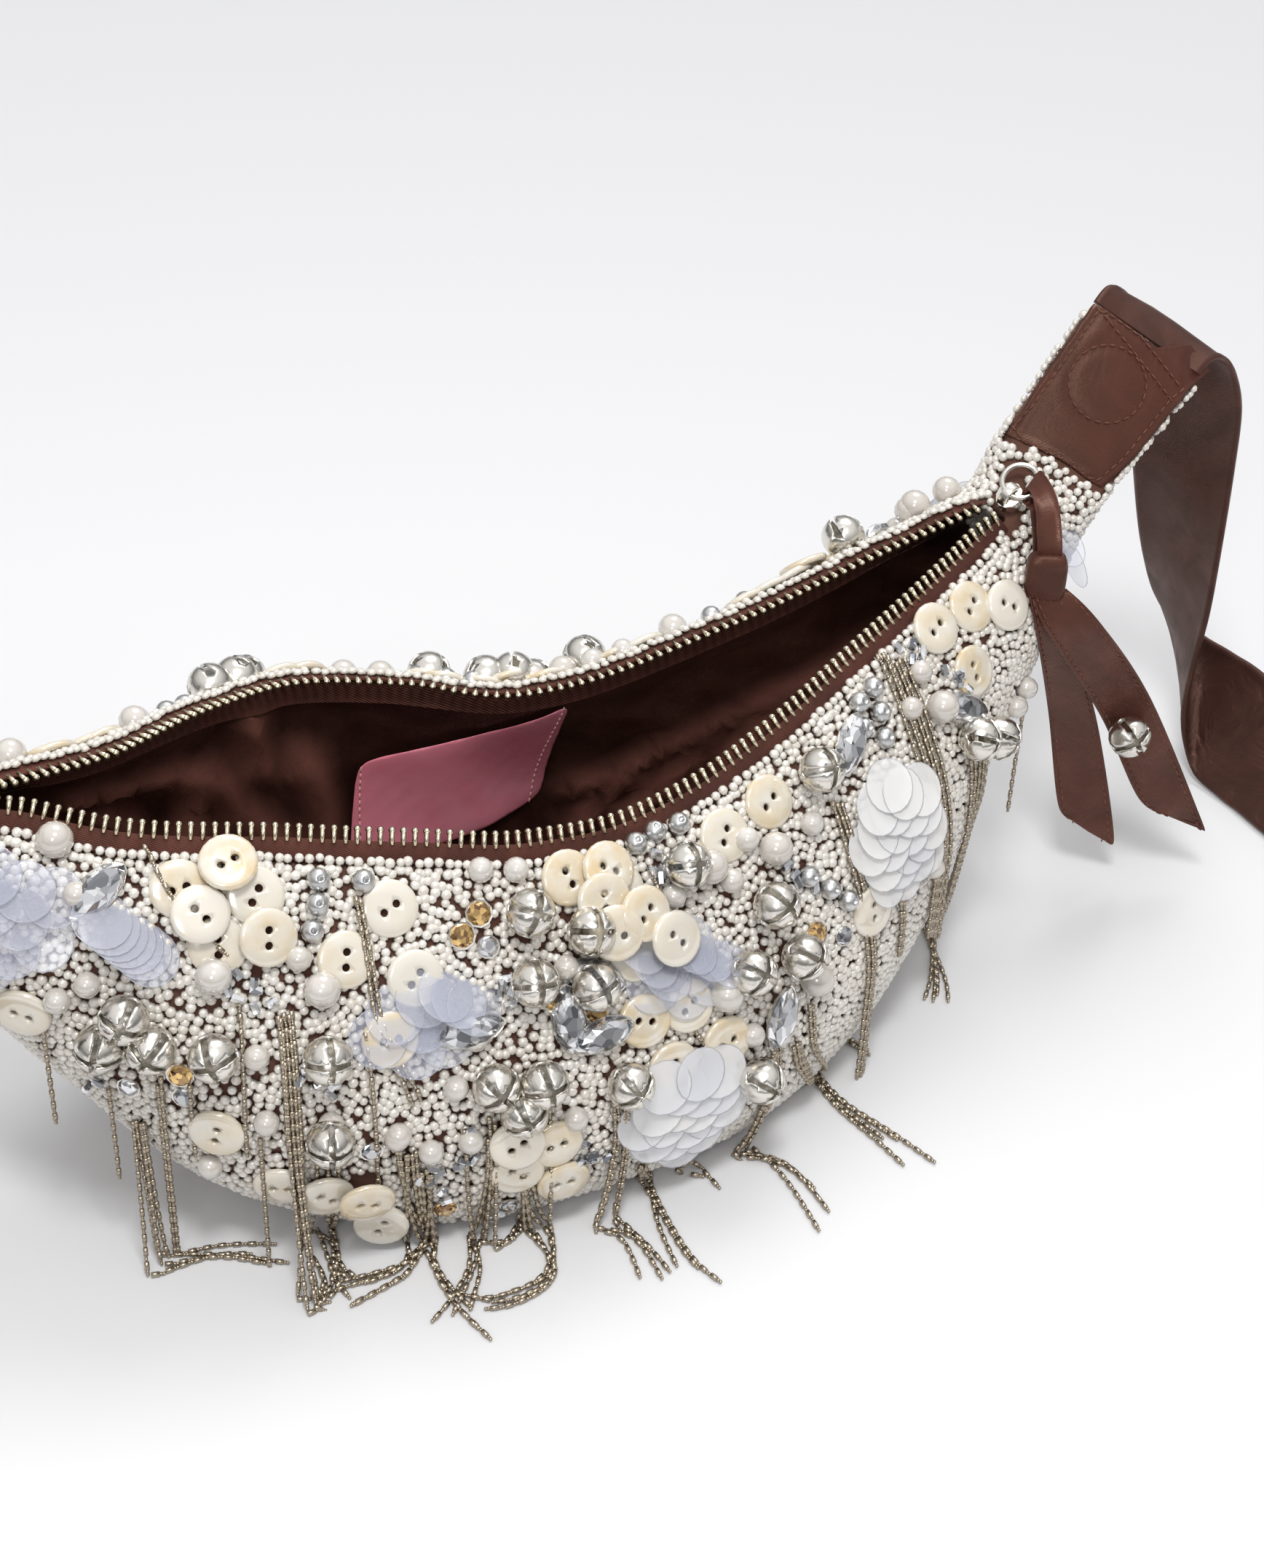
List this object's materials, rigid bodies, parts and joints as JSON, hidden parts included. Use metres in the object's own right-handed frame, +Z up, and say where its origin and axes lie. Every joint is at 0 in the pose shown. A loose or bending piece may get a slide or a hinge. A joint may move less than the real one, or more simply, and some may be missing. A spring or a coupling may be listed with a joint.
{
  "type": "evening bag",
  "caption": "Crescent beaded evening bag standing open on its belly, with satin lining and strap, metal zip with ribbon pull, chain fringe, sewn bells, shell buttons and marquise stones.",
  "frame": {"origin": "on the floor, on the flat of the sole, under the middle of the mouth", "axes": "+X along the bag to the end with the zip slider, +Y to the back wall, +Z up"},
  "size_m": [0.469, 0.3089, 0.1495],
  "materials": {
    "beadwork": "ivory seed pearls sewn close on brown cloth",
    "satin": "dark brown satin",
    "zip_tape": "dark brown ribbed tape",
    "tooth_metal": "pale polished",
    "nickel": "bright nickel",
    "label": "dusty pink woven",
    "chain": "champagne nickel",
    "pearl_shell": "polished mother-of-pearl",
    "crystal": "clear, foiled back"
  },
  "bodies": {
    "root": {"bag_shell": "beadwork", "bell_01": "nickel", "bell_02": "nickel", "bell_03": "nickel", "bell_04": "nickel", "bell_05": "nickel", "bell_06": "nickel", "bell_07": "nickel", "bell_08": "nickel", "bell_09": "nickel", "bell_10": "nickel", "bell_11": "nickel", "bell_12": "nickel", "bell_13": "nickel", "bell_14": "nickel", "bell_15": "nickel", "bell_16": "nickel", "button_01": "pearl_shell", "button_02": "pearl_shell", "button_03": "pearl_shell", "button_04": "pearl_shell", "button_05": "pearl_shell", "button_06": "pearl_shell", "button_07": "pearl_shell", "button_08": "pearl_shell", "button_09": "pearl_shell", "button_10": "pearl_shell", "button_11": "pearl_shell", "button_12": "pearl_shell", "button_13": "pearl_shell", "button_14": "pearl_shell", "button_15": "pearl_shell", "button_16": "pearl_shell", "button_17": "pearl_shell", "fringe": "chain", "label": "label", "lining": "satin", "pull_ribbon": "satin", "pull_ring": "nickel", "ribbon_bell": "nickel", "stone_01": "crystal", "stone_02": "crystal", "stone_03": "crystal", "stone_04": "crystal", "stone_05": "crystal", "stone_06": "crystal", "strap": "satin", "tab_facing_left": "satin", "tab_facing_right": "satin", "zip_slider": "nickel", "zip_tape_back": "zip_tape", "zip_tape_front": "zip_tape", "zip_teeth_back": "tooth_metal", "zip_teeth_front": "tooth_metal"}
  },
  "joints": []
}
